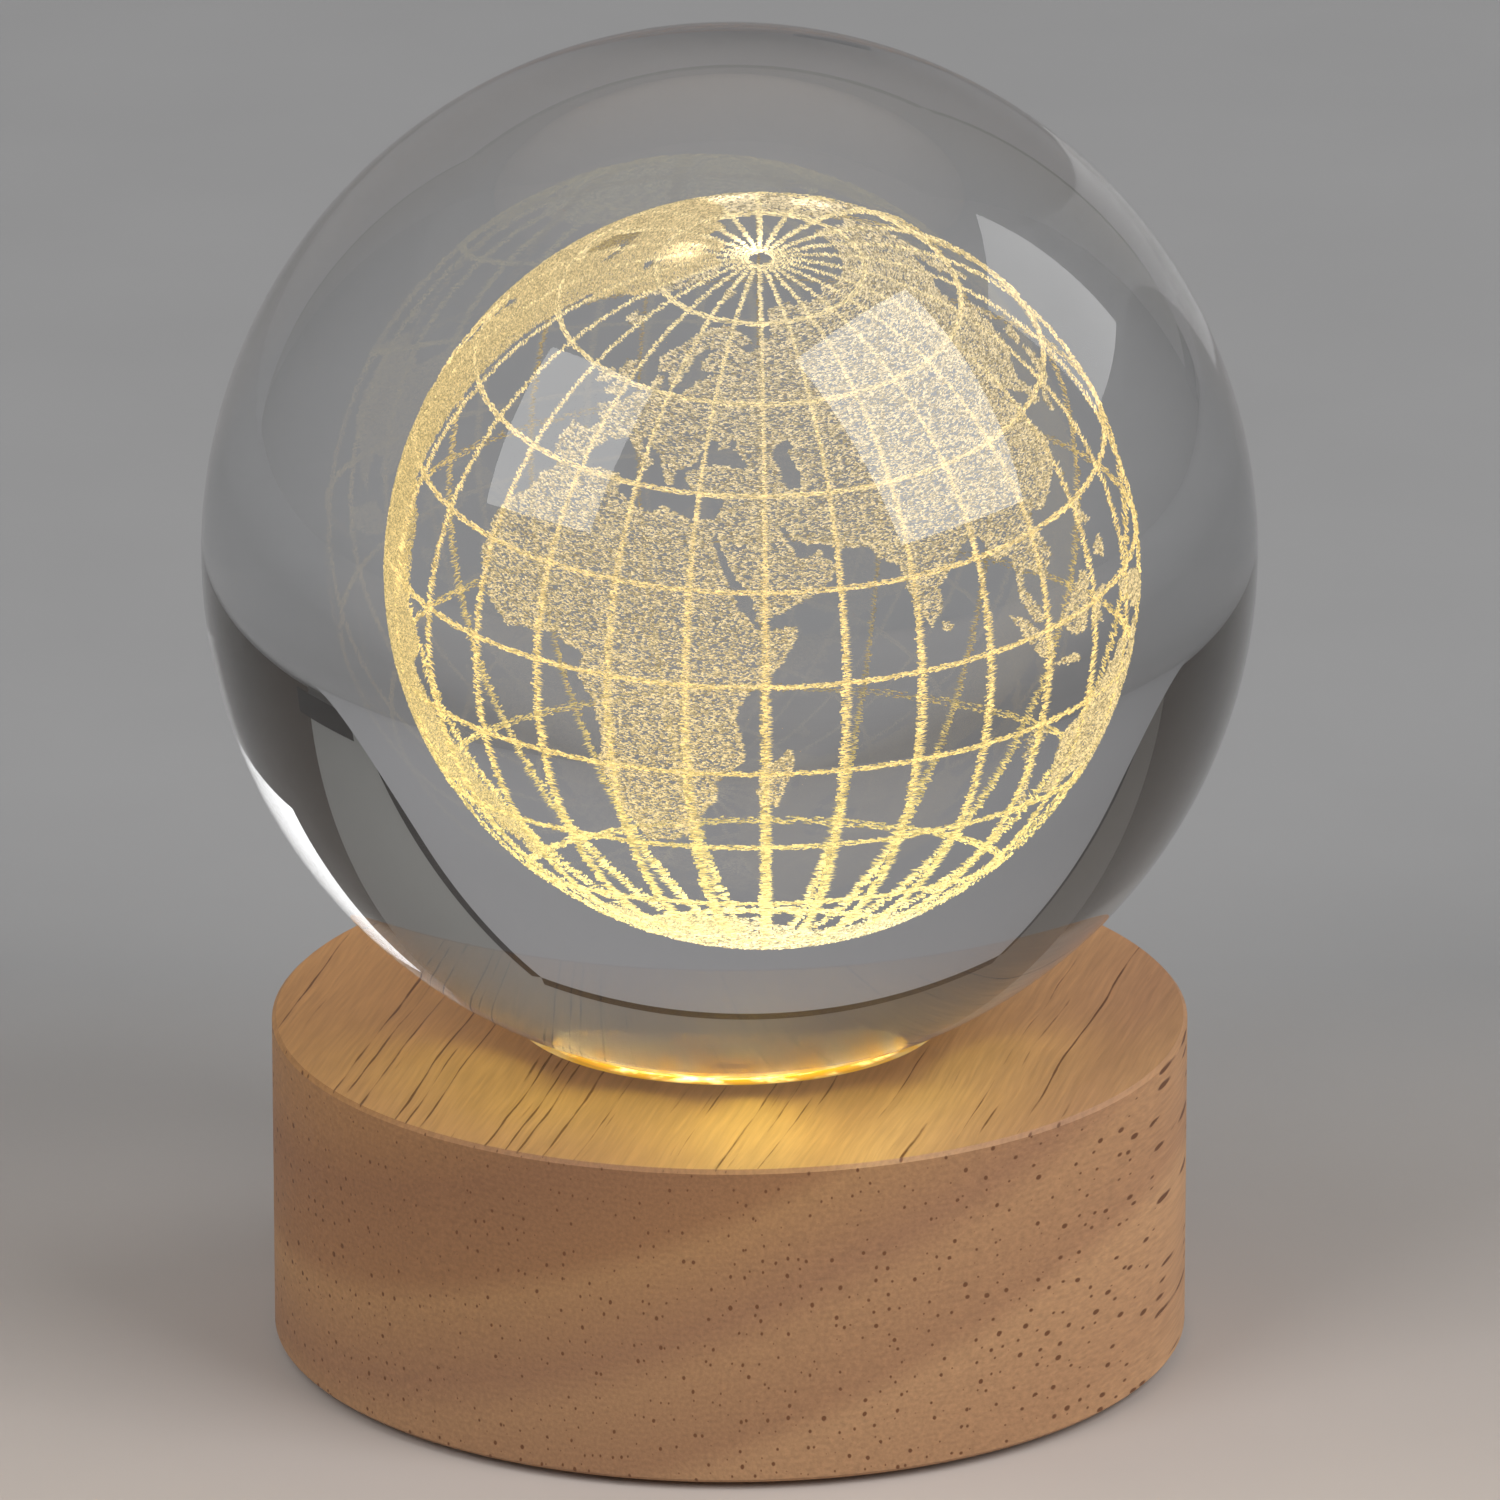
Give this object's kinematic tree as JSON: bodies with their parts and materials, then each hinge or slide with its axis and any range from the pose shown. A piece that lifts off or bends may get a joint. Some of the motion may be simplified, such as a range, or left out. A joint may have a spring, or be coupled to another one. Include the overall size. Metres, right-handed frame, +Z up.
{
  "type": "crystal ball lamp",
  "caption": "Clear glass ball with a globe engraved inside it, resting on a round turned wooden base that lights it from below.",
  "frame": {"origin": "centre of the foot pads' underside, on the axis of the turned base", "axes": "+Z up through the ball's centre, -Y towards the viewer, +Y to the rear with the socket and button"},
  "size_m": [0.08, 0.08, 0.1026],
  "materials": {
    "wood": "turned and oiled",
    "crystal_glass": "polished",
    "engraving": "fine white cracks lit from below",
    "clear_plastic": "clear, polished",
    "frosted_plastic": "frosted",
    "white_board": "solder mask",
    "green_board": "solder mask",
    "white_plastic": "moulded",
    "light_yellow": "phosphor",
    "black_plastic": "moulded",
    "steel": "plated",
    "gold_plate": "plated",
    "tin_plate": "tinned",
    "foot_rubber": "die cut",
    "red_wire": "extruded",
    "black_wire": "extruded"
  },
  "bodies": {
    "base": {"wooden_base": "wood", "light_window": "frosted_plastic", "seat_ring": "clear_plastic", "light_board": "white_board", "light_packages": "white_plastic", "light_faces": "light_yellow", "chip_resistors": "black_plastic", "control_board": "green_board", "socket_shell": "steel", "socket_tongue": "black_plastic", "socket_contacts": "gold_plate", "switch_body": "black_plastic", "switch_pins": "tin_plate", "bottom_cover": "black_plastic", "foot_pads": "foot_rubber", "cover_screws": "steel", "light_board_screws": "steel", "control_board_screws": "steel", "red_lead": "red_wire", "black_lead": "black_wire", "solder_joints": "tin_plate"},
    "ball": {"crystal_ball": "crystal_glass", "engraved_meridians": "engraving", "engraved_parallels": "engraving", "engraved_land": "engraving"},
    "button": {"button_cap": "black_plastic", "switch_plunger": "white_plastic"}
  },
  "joints": [
    {"name": "ball_lift", "type": "slide", "parent": "base", "child": "ball", "axis": [0, 0, 1], "range_m": [0, 0.03]},
    {"name": "button_press", "type": "slide", "parent": "base", "child": "button", "axis": [0, -1, 0], "range_m": [0, 0.0018], "stiffness_N_per_m": 1100, "springref_m": -0.0009}
  ]
}
